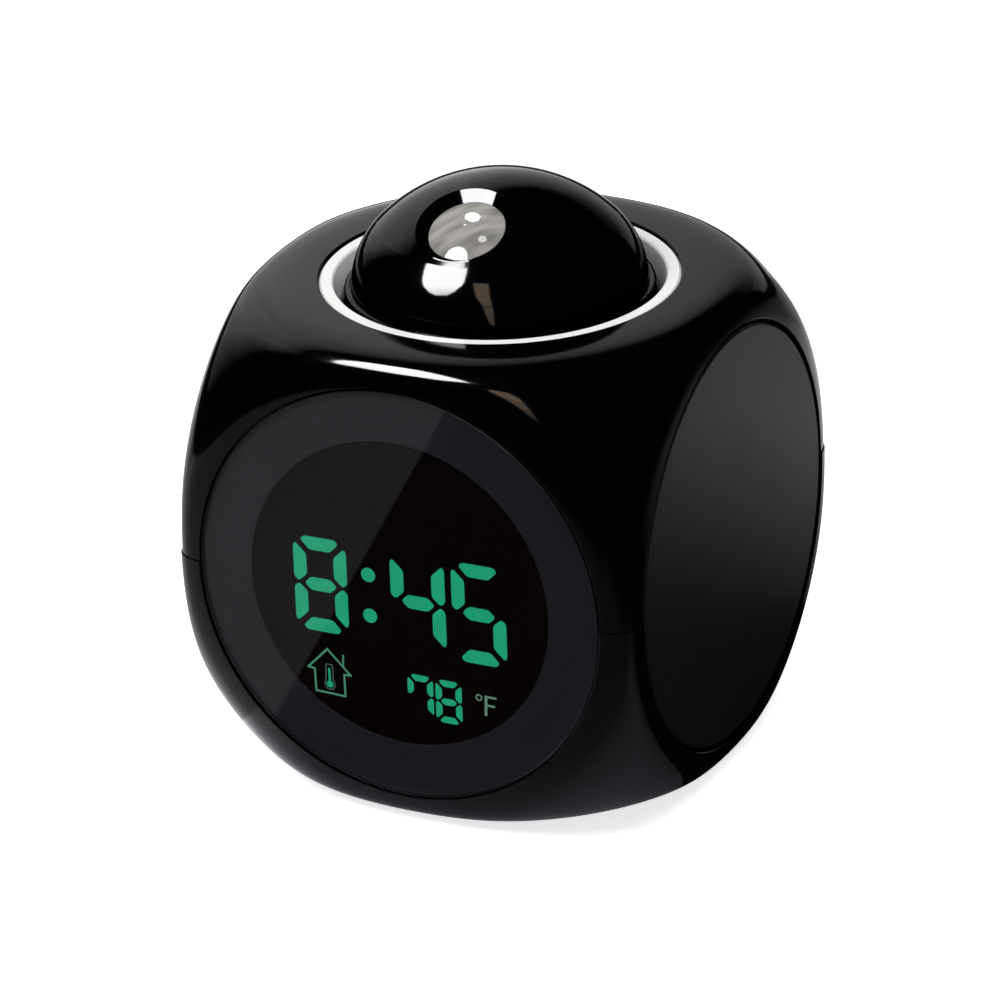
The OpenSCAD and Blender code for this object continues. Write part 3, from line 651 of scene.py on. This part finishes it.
for piece, grow in ((upper_skin, 0.0), (lower_skin, seam_step / MM)):
    combine(piece, cavity("hollow", 0.0))
    for aim, floor in (("front", front_seat), ("back", back_seat),
                       ("right", cap_seat), ("left", cap_seat)):
        combine(piece, turned("seat", mouth(SEAT_R, floor, SEAT_FACE + grow), aim))
    combine(piece, rod("hole", FRONT_HOLE_R, inner_w - 1.5, FAR, "front", steps=TURNS))
    combine(piece, rod("hole", BACK_HOLE_R, inner_w - 1.5, FAR, "back", steps=TURNS))
print(len(upper_skin.data.polygons), len(lower_skin.data.polygons), "faces left")

# %% [markdown]
# ## The top opening, the seam and the battery bay
# The upper shell keeps everything above the seam and gets the seat of the white
# ring. The lower shell keeps the rest with a lip that centres the upper one, the
# battery bay with its walls, and the sockets of the screws and feet.

# %% Upper shell
SEAM_GAP = 0.05
COLUMNS, COLUMN_R = four(32, 10), 3.0
HANGERS, HANGER_LOW = four(23, 23), 29.8
ring_floor = (high_corner("trim_ring").z - seam_z) / MM - 0.9
combine(upper_skin, all_below(SEAM_GAP))
combine(upper_skin, turned("ring_seat", mouth(RING_SEAT_R, ring_floor, RING_FACE, 0.25)))
combine(upper_skin, rod("ring_hole", RING_HOLE_R, inner_h - 1, FAR, steps=TURNS))
for x, y in COLUMNS:
    combine(upper_skin, rod("column", COLUMN_R, 0.2, hh - 1, x=x, y=y), "UNION")
for x, y in HANGERS:
    combine(upper_skin, rod("hanger", COLUMN_R, HANGER_LOW, hh - 1, x=x, y=y), "UNION")
print(len(upper_skin.data.polygons), "faces in the upper shell")

# %% Lower shell
bay_x, bay_y, bay_wall = 25.7, 18.7, 1.8
bay_top = -hh + 13.8
door_corner = high_corner("battery_door")
door_x, door_y, door_t = door_corner.x / MM + 0.2, door_corner.y / MM + 0.2, 1.6
LIP_HIGH, LIP_LOW = 1.6, -2.0
SCREW_R, HEAD_R, FOOT_R = 1.4, 2.6, 3.6

combine(lower_skin, all_above(-SEAM_GAP))
combine(lower_skin, all_below(-hh))
lip = cavity("lip", 0.1)
combine(lip, cavity("lip_hollow", 1.2))
combine(lip, all_above(LIP_HIGH))
combine(lip, all_below(LIP_LOW))
combine(lower_skin, lip, "UNION")
for x, y in COLUMNS:
    combine(lower_skin, rod("column", COLUMN_R, -hh + 1, 0, x=x, y=y), "UNION")
walls = block("walls", -bay_x - bay_wall, bay_x + bay_wall, -bay_y - bay_wall, bay_y + bay_wall,
              -hh + 1, bay_top + 1)
combine(lower_skin, walls, "UNION")
combine(lower_skin, block("bay", -bay_x, bay_x, -bay_y, bay_y, -FAR, bay_top))
combine(lower_skin, block("door_seat", -door_x, door_x, -door_y, door_y, -FAR, -hh + door_t))
combine(lower_skin, block("notch", -6, 6, bay_y - 0.1, 23.4, -FAR, -hh + 1.2))
for x in (-15, 15):
    combine(lower_skin, block("pocket", x - 4.3, x + 4.3, -22, -bay_y + 0.1, -FAR, -hh + 4))
for x, y in COLUMNS:
    combine(lower_skin, rod("screw_way", SCREW_R, -FAR, 1, x=x, y=y))
    combine(lower_skin, rod("head_way", HEAD_R, -FAR, -hh + 6, x=x, y=y))
for x, y in four(24.4, 24.4):
    combine(lower_skin, rod("foot_socket", FOOT_R, -FAR, -hh + 1.2, x=x, y=y))
print(len(lower_skin.data.polygons), "faces in the lower shell")

# %% [markdown]
# ## Normals from the rule
# Gloss shows every error of a normal, and a cut leaves long thin faces beside it.
# But the formula that made the skin also gives its exact normal. Corners on the
# skin get that normal, and the cut faces keep their own.

# %% Exact normals
def true_normals(piece, grow):
    """Puts the rule's normals on the skin. Gives how many corners got one, and of how many."""
    mesh = piece.data
    mesh.polygons.foreach_set("use_smooth", [True] * len(mesh.polygons))
    mesh.set_sharp_from_angle(angle=math.radians(30))
    count = len(mesh.loops)
    normals = np.zeros(count * 3)
    mesh.corner_normals.foreach_get("vector", normals)
    normals = normals.reshape(-1, 3)
    of_corner = np.zeros(count, dtype=int)
    mesh.loops.foreach_get("vertex_index", of_corner)
    places = np.zeros(len(mesh.vertices) * 3)
    mesh.vertices.foreach_get("co", places)
    places = places.reshape(-1, 3) - np.array([0, 0, seam_z])
    exact = blend_normals(places, grow)
    on_it = np.abs(blend_of(places, grow)[:, 0] - 1) < 0.0003
    same_way = (exact[of_corner] * normals).sum(axis=1) > 0.9
    chosen = on_it[of_corner] & same_way
    normals[chosen] = exact[of_corner][chosen]
    mesh.normals_split_custom_set([tuple(n) for n in normals])
    return int(chosen.sum()), count


print(true_normals(upper_skin, 0.0))
print(true_normals(lower_skin, seam_step))
for piece, node_name in ((upper_skin, "upper_shell"), (lower_skin, "lower_shell")):
    dress(piece, GLOSS_BLACK)
    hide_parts(node_name)
    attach(piece, "case")

# %% [markdown]
# ## The lit segments
# On the real display each lit segment is a cell of the glass that lets the
# backlight through, with dark gaps to its neighbours. Here each segment is a thin
# plate just in front of the display glass. All digits share one pattern of seven
# segments, so any time or temperature can be set in one short line.

# %% One digit's seven segments
LIT = {"0": "abcdef", "1": "bc", "2": "abged", "3": "abgcd", "4": "fgbc", "5": "afgcd",
       "6": "afgedc", "7": "fabc", "8": "abcdefg", "9": "abcdfg"}
THICK, TIP, GAP = 0.245, 0.07, 0.036


def segment(name, high):
    """Corners of one segment in a digit that is 1 wide, from its lower left corner."""
    half, middle = THICK / 2, high / 2
    if name == "g":
        reach = half + 2 * GAP
        quarter = [(reach, middle), (reach + half, middle + half)]
        upper = quarter + [(1 - x, z) for x, z in reversed(quarter)]
        return upper + [(x, 2 * middle - z) for x, z in reversed(upper[1:-1])]
    if name in "ad":
        corners = [(TIP + 2 * GAP, high - TIP), (TIP * 2 + GAP * 2, high),
                   (1 - TIP * 2 - GAP * 2, high), (1 - TIP - 2 * GAP, high - TIP),
                   (1 - THICK - 1.6 * GAP, high - THICK), (THICK + 1.6 * GAP, high - THICK)]
    else:
        corners = [(0, high - THICK + GAP), (TIP * 0.6, high - TIP - 2 * GAP),
                   (THICK, high - THICK - 2.6 * GAP), (THICK, middle + half + GAP),
                   (half - GAP, middle + GAP * 0.4), (0, middle + TIP + GAP * 0.5)]
    if name in "bc":
        corners = [(1 - x, z) for x, z in corners]
    if name in "dec":
        corners = [(x, high - z) for x, z in corners]
    return corners


def rounded(corners, radius, steps=3):
    """Rounds each corner of an outline with a short curve."""
    rounded_off = []
    for place, corner in enumerate(corners):
        here = Vector(corner)
        ends = [here + (Vector(other) - here).normalized()
                * min(radius, (Vector(other) - here).length * 0.45)
                for other in (corners[place - 1], corners[(place + 1) % len(corners)])]
        for step in range(steps + 1):
            t = step / steps
            rounded_off.append(tuple((1 - t) ** 2 * ends[0] + 2 * t * (1 - t) * here
                                     + t ** 2 * ends[1]))
    return rounded_off


def digit(character, x0, x1, z0, z1):
    """The outlines of one digit in its box, in mm."""
    wide, high = x1 - x0, (z1 - z0) / (x1 - x0)
    return [[(x0 + x * wide, z0 + z * wide) for x, z in rounded(segment(name, high), 0.05)]
            for name in LIT[character]]


print({name: len(digit(name, 0, 10, 0, 17)) for name in "847"})

# %% Plates in front of the display glass
plate_y = display_y - 0.00003


def plate(name, outlines, material):
    """Thin plates from outlines in mm, x to the right and z up from the seam's middle."""
    form = bmesh.new()
    for outline in outlines:
        form.faces.new([form.verts.new((x * MM, plate_y, seam_z + z * MM)) for x, z in outline])
    bmesh.ops.recalc_face_normals(form, faces=form.faces[:])
    for face in form.faces:
        if face.normal.y > 0:
            face.normal_flip()
    mesh = bpy.data.meshes.new(name)
    form.to_mesh(mesh)
    form.free()
    piece = bpy.data.objects.new(name, mesh)
    bpy.context.scene.collection.objects.link(piece)
    dress(piece, material)
    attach(piece, "case")


def circle(x, z, radius, steps=28):
    """The outline of a round spot."""
    return [(x + radius * math.cos(2 * math.pi * k / steps),
             z + radius * math.sin(2 * math.pi * k / steps)) for k in range(steps)]


# Each digit stands in its own box: left, right, low and high in mm
plate("hour_digit", digit("8", -19.55, -9.7, -9.6, 7.6), SEGMENT_GREEN)
plate("minute_tens", digit("4", -1.65, 8.35, -9.95, 7.6), SEGMENT_GREEN)
plate("minute_units", digit("5", 9.55, 19.4, -10.35, 7.65), SEGMENT_GREEN)
plate("colon", [circle(-5.71, 2.38, 1.3), circle(-5.67, -5.05, 1.3)], SEGMENT_GREEN)
plate("temperature_tens", digit("7", 0.75, 5.5, -22.0, -14.4), SEGMENT_GREEN)
plate("temperature_units", digit("8", 5.9, 10.75, -22.35, -14.5), SEGMENT_GREEN)
print("digits lit")

# %% [markdown]
# ### Signs beside the digits
# The room's temperature is marked by the outline of a house with a thermometer
# in it, and its unit by a small ring and the letter F. They are lines of one
# width, so a helper turns each line into a thin bar.

# %% House, thermometer and unit
def bar(x0, z0, x1, z1, width):
    """The outline of a straight line with a width and square ends."""
    start, end = Vector((x0, z0)), Vector((x1, z1))
    along = (end - start).normalized() * width / 2
    across = Vector((-along.y, along.x))
    return [tuple(p) for p in (start - along + across, start - along - across,
                               end + along - across, end + along + across)]


def loop_bars(corners, width):
    """Bars along a closed line."""
    return [bar(*corners[k - 1], *corners[k], width) for k in range(len(corners))]


house = [(-14.03, -12.7), (-17.75, -16.55), (-16.55, -16.7), (-16.45, -20.75),
         (-11.0, -20.9), (-11.05, -16.95), (-9.85, -16.85)]
stem = [(-14.4, -15.5), (-14.55, -18.3), (-14.75, -19.2), (-14.3, -20.05), (-13.3, -20.1),
        (-12.8, -19.2), (-13.15, -18.2), (-13.25, -15.5)]
plate("house_sign", loop_bars(house, 0.36) + [bar(-11.1, -13.4, -11.15, -15.4, 0.34)], ICON_GREEN)
plate("thermometer_glass", loop_bars(stem, 0.2), ICON_DIM)
plate("thermometer_column", [bar(-13.85, -16.4, -13.8, -18.6, 0.42), circle(-13.8, -19.15, 0.62)],
      SEGMENT_GREEN)
ring_sign = loop_bars(circle(13.9, -16.5, 0.5, 14), 0.24)
letter = [bar(15.2, -16.2, 15.1, -19.4, 0.5), bar(15.4, -16.15, 16.9, -16.15, 0.42),
          bar(15.4, -17.7, 16.6, -17.7, 0.42)]
plate("unit_sign", ring_sign + letter, UNIT_GREEN)
print("signs lit")

# %% [markdown]
# ## Stage
# A pale floor and soft light. Gloss black shows little but its surroundings, so
# the studio's cards matter as much as its lamps. A card shows only in mirrors and
# through clear stuff, and its brightness is given at its corners, so that it can
# fade. It adds its light to what lies behind it, so no card hides another, and
# each card lists the pieces that show it.

# %% Floor, sky and lamps
FLOOR_GLOW = 0.75  # that the eye sees, so that the floor ends in the white of the sky
SKY_SHARE = 0.25   # of the sky's white that lights the clock


def emission_material(name):
    """A clear sheet that only adds its own light: the material, its tree and its glow."""
    material = bpy.data.materials.new(name)
    material.use_nodes = True
    tree = material.node_tree
    tree.nodes.clear()
    leave = add_node(tree, "ShaderNodeOutputMaterial")
    glow = add_node(tree, "ShaderNodeEmission")
    clear = add_node(tree, "ShaderNodeBsdfTransparent")
    both = add_node(tree, "ShaderNodeAddShader")
    tree.links.new(glow.outputs[0], both.inputs[0])
    tree.links.new(clear.outputs[0], both.inputs[1])
    tree.links.new(both.outputs[0], leave.inputs["Surface"])
    return material, tree, glow


def is_ray(tree, kind):
    """1 where a ray of that kind looks, else 0."""
    return add_node(tree, "ShaderNodeLightPath").outputs[kind]


def build_floor():
    """Pale to the eye, and dark in mirrors, where the cards take its place."""
    material = bpy.data.materials.new("floor")
    material.use_nodes = True
    tree = material.node_tree
    tree.nodes.clear()
    leave = add_node(tree, "ShaderNodeOutputMaterial")
    lit = add_node(tree, "ShaderNodeBsdfDiffuse")
    lit.inputs["Color"].default_value = (0.80, 0.80, 0.80, 1)
    glow = add_node(tree, "ShaderNodeEmission")
    both = add_node(tree, "ShaderNodeAddShader")
    tree.links.new(lit.outputs[0], both.inputs[0])
    tree.links.new(glow.outputs[0], both.inputs[1])
    dim = add_node(tree, "ShaderNodeBsdfDiffuse")
    dim.inputs["Color"].default_value = (0.006, 0.006, 0.0065, 1)
    mix = add_node(tree, "ShaderNodeMixShader")
    tree.links.new(is_ray(tree, "Is Glossy Ray"), mix.inputs["Fac"])
    tree.links.new(both.outputs[0], mix.inputs[1])
    tree.links.new(dim.outputs[0], mix.inputs[2])
    tree.links.new(maths(tree, "MULTIPLY", is_ray(tree, "Is Camera Ray"), FLOOR_GLOW),
                   glow.inputs["Strength"])
    tree.links.new(mix.outputs[0], leave.inputs["Surface"])
    return material


FLOOR = shape("floor", [(-4, -4, 0), (4, -4, 0), (4, 4, 0), (-4, 4, 0)], [(0, 1, 2, 3)])
dress(FLOOR, build_floor())
FLOOR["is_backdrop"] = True

world = bpy.data.worlds.new("studio")
bpy.context.scene.world = world
world.use_nodes = True
sky = world.node_tree
sky_light = sky.nodes["Background"]
sky_light.inputs["Color"].default_value = (1, 1, 1, 1)
shown = maths(sky, "ADD", is_ray(sky, "Is Camera Ray"),
              maths(sky, "MULTIPLY", is_ray(sky, "Is Diffuse Ray"), SKY_SHARE))
sky.links.new(shown, sky_light.inputs["Strength"])


def lamp(name, place, size, power, target=(0, 0, 0.04)):
    """A round lamp that lights the clock but shows in no mirror."""
    data = bpy.data.lights.new(name, "AREA")
    data.shape = "DISK"
    data.size = size
    data.energy = power
    piece = bpy.data.objects.new(name, data)
    piece.location = place
    piece.rotation_euler = (Vector(target) - Vector(place)).to_track_quat("-Z", "Y").to_euler()
    bpy.context.scene.collection.objects.link(piece)
    piece.visible_glossy = False
    piece.visible_camera = False


# Each lamp: its place and its width in metres, and its power in watts
lamp("key_lamp", (-0.5, -0.8, 1.1), 0.6, 11.0)
lamp("top_lamp", (0.3, 0.1, 1.4), 1.2, 11.5)
# In the gloss beside them these pieces would show as stray bright lines
for unmirrored in ("trim_ring", "projector_lens", "lens_collar"):
    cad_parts[unmirrored].visible_glossy = False
# The window would shade the print behind it more than clear stuff does
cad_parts["front_window"].visible_shadow = False
print("floor, sky and lamps ready")

# %% [markdown]
# ### Cards that the gloss mirrors
# The white paper under the clock ends in front of it, which draws the straight
# edge across the window. A grey backdrop stands behind, a soft box high on the
# left, and a small warm window beside the camera.

# %% Cards
def card(name, rows, tint, seen_by):
    """A card from rows of (x, y, z, brightness), shown only by the seen_by pieces."""
    wide = len(rows[0])
    corners = [point[:3] for row in rows for point in row]
    faces = [(r * wide + c, r * wide + c + 1, (r + 1) * wide + c + 1, (r + 1) * wide + c)
             for r in range(len(rows) - 1) for c in range(wide - 1)]
    piece = shape(name, corners, faces)
    bright = piece.data.attributes.new("bright", "FLOAT", "POINT")
    bright.data.foreach_set("value", [point[3] for row in rows for point in row])
    material, tree, glow = emission_material(name)
    glow.inputs["Color"].default_value = (*tint, 1)
    level_in = add_node(tree, "ShaderNodeAttribute", attribute_name="bright")
    tree.links.new(level_in.outputs["Fac"], glow.inputs["Strength"])
    dress(piece, material)
    piece.visible_camera = False
    piece.visible_diffuse = False
    piece.visible_shadow = False
    receivers = bpy.data.collections.new(name + "_receivers")
    for receiver in seen_by:
        receivers.objects.link(receiver)
    piece.light_linking.receiver_collection = receivers
    piece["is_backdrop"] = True


def toward(around, above, far=1.6):
    """A point far metres away from the middle, around from the front and above the level."""
    a, e = math.radians(around), math.radians(above)
    return Vector((math.sin(a) * math.cos(e), -math.cos(a) * math.cos(e), math.sin(e))) * far + middle


print("ready to make cards")

# %% Which pieces show which cards
lens, collar = (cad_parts[name] for name in ("projector_lens", "lens_collar"))
window_pieces = [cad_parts[name] for name in ("front_window", "window_ring", "lcd_glass",
                                                   "display_frame")]
fittings = [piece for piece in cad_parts.values()
            if piece not in (*window_pieces, collar, lens)]
room_pieces = [upper_skin, lower_skin, lens, *fittings]
print(len(fittings), "fittings")

# %% Paper on the floor
# Mirrors mix up cards that lie at one height, so those that overlap have their own
PAPER_LIFT, SHEEN_LIFT, WINDOW_PAPER_LIFT = 0.1, 0.05, 0.3
WINDOW_PAPER_BRIGHT = 0.125
EDGE_SOFT = 12  # mm to each side of the paper's edge, in which it fades on the shells
plain = (1.0, 1.0, 1.0)
cool = (0.97, 0.985, 1.0)
violet = (0.95, 0.93, 1.1)


def on_floor(x, y, bright, lift=PAPER_LIFT):
    """A card's point from its place on the floor in mm."""
    return (x * MM, y * MM, lift * MM, bright)


def edge_x(y):
    """Where the paper's edge runs, which is the straight line in the window."""
    return -39.0 - 0.238 * (-y - 68.9)


def floor_card(name, across, along, tint, seen_by, lift=PAPER_LIFT):
    """A card on the floor, as bright as a share across times a level along."""
    card(name, [[on_floor(x, y, share * level, lift) for x, share in across]
                for y, level in along], tint, seen_by)


# In front: the place y, and how bright the paper is far left and near its edge
card("paper_front", [[on_floor(-430, y, 0), on_floor(-380, y, far), on_floor(-170, y, far),
                      on_floor(edge_x(y) - EDGE_SOFT, y, near),
                      on_floor(edge_x(y) + EDGE_SOFT, y, 0)]
                     for y, far, near in
                     ((-45, 0.5, 0.6), (-75, 0.35, 0.35), (-100, 0.26, 0.27), (-150, 0.2, 0.24),
                      (-195, 0.18, 0.15), (-210, 0.18, 0.0), (-400, 0.16, 0.0), (-430, 0.0, 0.0))],
     cool, room_pieces)
card("paper_in_window", [[on_floor(x, y, WINDOW_PAPER_BRIGHT, WINDOW_PAPER_LIFT)
                          for x in (-430, edge_x(y))] for y in (-45, -430)], cool, window_pieces)
floor_card("paper_left", ((-430, 0.0), (-380, 0.2), (-250, 0.45), (-130, 0.7), (-44, 0.75),
                          (-30, 0.25), (-15, 0.0)),
           ((-45, 1.0), (20, 1.0), (100, 1.5), (200, 2.4), (300, 0.6), (500, 0.3)), cool,
           room_pieces)
floor_card("paper_behind", ((-44, 1.0), (50, 0.8), (110, 0.32), (200, 0.1), (300, 0.0)),
           ((60, 0.05), (90, 0.25), (135, 0.95), (180, 1.0), (260, 0.35), (500, 0.12)), cool,
           room_pieces)
floor_card("table_sheen", ((-44, 1.6), (-15, 1.2), (30, 0.6), (80, 0.55), (150, 0.0)),
           ((-15, 0.1), (-30, 0.3), (-44, 0.3), (-60, 0.16), (-100, 0.12), (-150, 0.11),
            (-200, 0.08), (-300, 0.0)), violet, (upper_skin, lower_skin), SHEEN_LIFT)
print("paper down")

# %% The grey backdrop
# Each column: around, how much it leans, brightness low and high, and its top edge
backdrop_columns = (
    (-195, 0.0, 0.15, 0.03, 22), (-180, 0.0, 0.30, 0.12, 25), (-165, 0.0, 0.42, 0.30, 32),
    (-150, 0.0, 1.20, 0.38, 42), (-135, 0.0, 0.70, 0.48, 47), (-120, 0.0, 0.30, 0.60, 46),
    (-117, 0.45, 0.20, 0.55, 42), (-106, 0.5, 0.0, 0.0, 38))


def backdrop_column(around, lean, low, high, top):
    """Its points from under the level up to the edge, where it fades out."""
    rises = ((-12, low), (2, low), (12, 0.4 * low + 0.6 * high), (top - 10, high),
             (top - 3, 0.7 * high), (top + 4, 0.0))
    return [(*toward(around + lean * above, above), bright) for above, bright in rises]


card("grey_backdrop", list(zip(*(backdrop_column(*column) for column in backdrop_columns))),
     plain, room_pieces)
print("backdrop up")

# %% Hung cards
def hung_card(name, around, above, turn, rows, tint, seen_by, far=1.2):
    """A flat card that faces the clock. Rows are (up, left, right, brightness), in degrees."""
    centre = toward(around, above, far)
    away = (centre - middle).normalized()
    flat = Matrix.Rotation(math.radians(turn), 3, away) @ Vector((0, 0, 1)).cross(away).normalized()
    rise = away.cross(flat)

    def corner(across, up, bright):
        place = centre + far * (math.tan(math.radians(across)) * flat
                                + math.tan(math.radians(up)) * rise)
        return (*place, bright)

    card(name, [[corner(left, up, bright), corner(right, up, bright)]
                for up, left, right, bright in rows], tint, seen_by)


def round_card(name, around, above, wide, high, bright, seen_by):
    """A round or oval card, its half width and half height in degrees."""
    turns = [math.pi * (step + 0.5) / 16 for step in range(16)]
    hung_card(name, around, above, 0, [(high * math.cos(t), -wide * math.sin(t), wide * math.sin(t),
                                        bright) for t in turns], cool, seen_by)


print("ready to hang cards")

# %% Soft box and warm window
warm = (1.0, 0.76, 0.6)
hung_card("soft_box", -36, 48, 35,
          ((14, -12, 15, 24), (5, -13, 15.5, 24), (-4, -14.5, 15.5, 24), (-10, -14.5, 14.5, 24),
           (-14, -13, 11.5, 22), (-18, -11, 9, 18), (-22, -6, 3, 12)), cool, fittings)
hung_card("soft_box_low", -58, 60, 0,
          ((13.5, -15, 11, 24), (7, -16, 13, 24), (1, -13, 15.5, 24), (-5, -9, 16, 24),
           (-11, -3, 16, 20), (-14, 2, 14, 8)), cool, [upper_skin])
hung_card("warm_window", 12, 22, 0,
          ((29, -10, 1.5, 1.8), (12, -5.5, 4.5, 1.8), (1, 0, 7, 1.6), (0.5, 0, 7.2, 0.4),
           (-1, 0.5, 7.6, 0.4), (-1.5, 0.5, 7.7, 1.4), (-29, 9, 11, 0.9)), warm, fittings)
hung_card("warm_window_low", 15, 54, 0,
          ((9, -6, 1.5, 2.2), (3.5, -6.5, 6, 2.2), (-2, -3, 8, 2.0), (-2.3, -3, 8, 0.6),
           (-3.2, -2, 8.2, 0.6), (-3.5, -2, 8.3, 2.0), (-7, 2, 9.5, 1.4), (-14, 7, 11.5, 0.2)),
          warm, [upper_skin])
hung_card("collar_light", -17, 19, 0, ((18, -31, 28, 24), (-12, -31, 28, 24)), cool, [collar])
round_card("lens_light", -28, 46, 16, 16, 24, [lens])
round_card("lens_lamp", -141, 56, 6, 10.5, 24, [lens])
round_card("lens_spot", 36, 82, 5, 5, 11, [lens])
print("lights up")

# %% Finish
low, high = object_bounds()
grown = max(max(high[i] - cad_high[i], cad_low[i] - low[i]) for i in range(3))
print("largest growth in mm:", round(grown / MM, 3))
